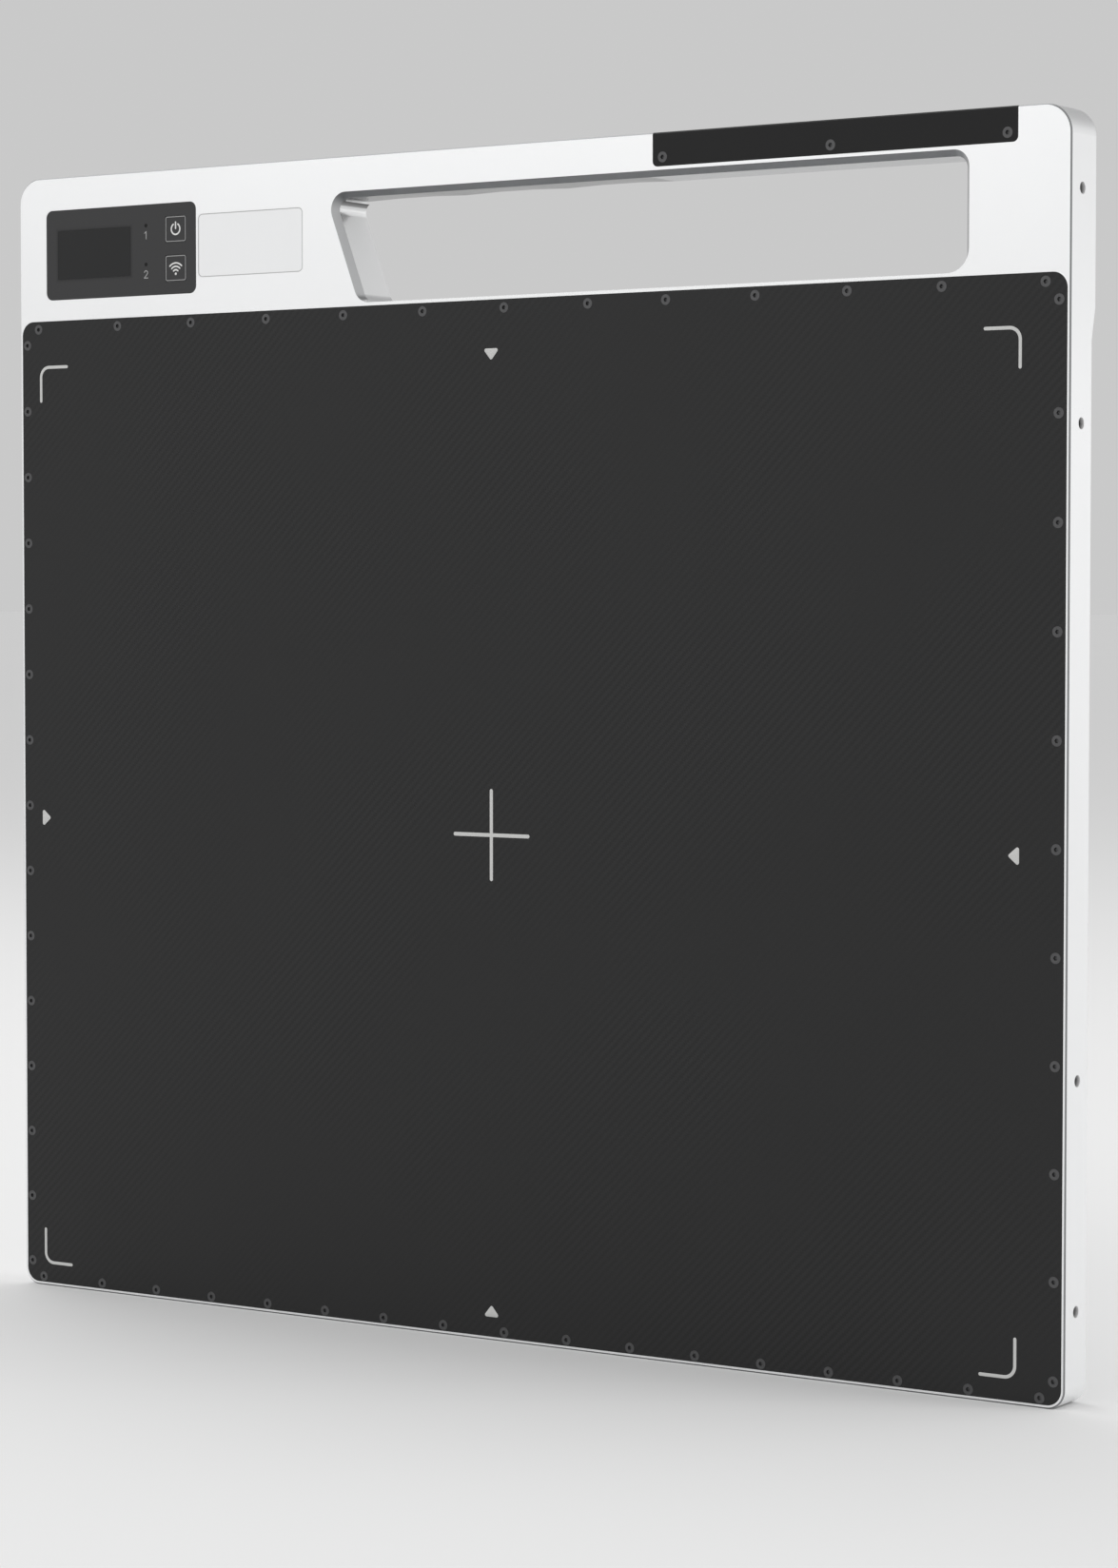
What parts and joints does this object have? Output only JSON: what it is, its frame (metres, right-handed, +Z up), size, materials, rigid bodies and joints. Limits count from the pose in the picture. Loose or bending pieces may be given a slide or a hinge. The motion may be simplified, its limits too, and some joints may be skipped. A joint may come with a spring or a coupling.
{
  "type": "x-ray flat panel detector",
  "caption": "Wireless flat x-ray detector with a dark front plate, a carrying handle opening along the top, a small control panel, and a removable battery in the back.",
  "frame": {"origin": "middle of the lower edge, half way through the greatest thickness", "axes": "+X to the right seen from the front, +Y from the front face to the back, +Z up"},
  "size_m": [0.46, 0.019, 0.4375],
  "materials": {
    "housing_white": "satin",
    "carbon_plate": "fine woven satin",
    "black_plastic": "matte",
    "dark_film": "satin",
    "display_window": "gloss",
    "key_cap": "satin",
    "light_pipe": "gloss",
    "label_film": "matte",
    "black_screw": "satin",
    "steel_screw": "satin",
    "seal_rubber": "matte",
    "soft_foam": "matte",
    "scintillator": "matte",
    "sensor_glass": "gloss",
    "lead_sheet": "dull",
    "chassis_metal": "satin",
    "amber_film": "gloss",
    "chip_black": "matte",
    "circuit_board": "semi-gloss",
    "tinned_steel": "satin",
    "post_brass": "satin",
    "connector_plastic": "matte",
    "cable_white": "satin",
    "coax_black": "satin",
    "antenna_copper": "satin",
    "battery_plastic": "fine matte",
    "cell_foil": "satin",
    "contact_gold": "gloss",
    "latch_plastic": "matte",
    "spring_steel": "satin"
  },
  "bodies": {
    "housing": {"front_frame": "housing_white", "front_plate": "carbon_plate", "cover_gaskets": "seal_rubber", "front_plate_screws": "black_screw", "rear_cover": "housing_white", "cover_screws": "black_screw", "antenna_cover": "black_plastic", "antennas": "antenna_copper", "antenna_cables": "coax_black", "cable_plugs": "connector_plastic", "control_overlay": "dark_film", "display_window": "display_window", "display_module": "chip_black", "display_foam": "soft_foam", "switch_bodies": "chip_black", "led_light_pipes": "light_pipe", "status_leds": "connector_plastic", "control_board": "circuit_board", "control_board_screws": "steel_screw", "control_cable": "cable_white", "display_bay_cover": "housing_white", "id_label": "label_film", "shock_foam": "soft_foam", "scintillator": "scintillator", "sensor_glass": "sensor_glass", "lead_shield": "lead_sheet", "support_chassis": "chassis_metal", "chassis_screws": "steel_screw", "readout_flexes": "amber_film", "gate_flexes": "amber_film", "film_chips": "chip_black", "readout_boards": "circuit_board", "gate_board": "circuit_board", "main_board": "circuit_board", "power_board": "circuit_board", "board_standoffs": "post_brass", "board_screws": "steel_screw", "board_chips": "chip_black", "shield_can": "tinned_steel", "radio_module": "tinned_steel", "power_inductors": "chip_black", "board_connectors": "connector_plastic", "board_cables": "cable_white", "battery_tray": "black_plastic", "battery_connector": "connector_plastic", "battery_contact_pins": "contact_gold", "latch_spring_left": "spring_steel", "latch_spring_right": "spring_steel"},
    "battery_pack": {"battery_case": "battery_plastic", "battery_lid": "battery_plastic", "battery_cells": "cell_foil", "battery_protection_board": "circuit_board", "battery_terminals": "contact_gold"},
    "latch_left": {"battery_latch_left": "latch_plastic"},
    "latch_right": {"battery_latch_right": "latch_plastic"},
    "power_key": {"power_button": "key_cap", "power_plunger": "latch_plastic"},
    "wireless_key": {"wireless_button": "key_cap", "wireless_plunger": "latch_plastic"}
  },
  "joints": [
    {"name": "power_key_press", "type": "slide", "parent": "housing", "child": "power_key", "axis": [0, 1, 0], "range_m": [0, 0.0003], "stiffness_N_per_m": 600, "springref_m": -0.002},
    {"name": "wireless_key_press", "type": "slide", "parent": "housing", "child": "wireless_key", "axis": [0, 1, 0], "range_m": [0, 0.0003], "stiffness_N_per_m": 600, "springref_m": -0.002},
    {"name": "battery_lift", "type": "slide", "parent": "housing", "child": "battery_pack", "axis": [0, 1, 0], "range_m": [0, 0.012]},
    {"name": "latch_left_slide", "type": "slide", "parent": "housing", "child": "latch_left", "axis": [-1, 0, 0], "range_m": [0, 0.004], "stiffness_N_per_m": 150, "springref_m": -0.003, "deforming": ["latch_spring_left"]},
    {"name": "latch_right_slide", "type": "slide", "parent": "housing", "child": "latch_right", "axis": [1, 0, 0], "range_m": [0, 0.004], "stiffness_N_per_m": 150, "springref_m": -0.003, "deforming": ["latch_spring_right"]}
  ],
  "couplings": [
    {"joint": "latch_left_slide", "follows": "battery_lift", "ratio": 0.3333},
    {"joint": "latch_right_slide", "follows": "battery_lift", "ratio": 0.3333}
  ]
}
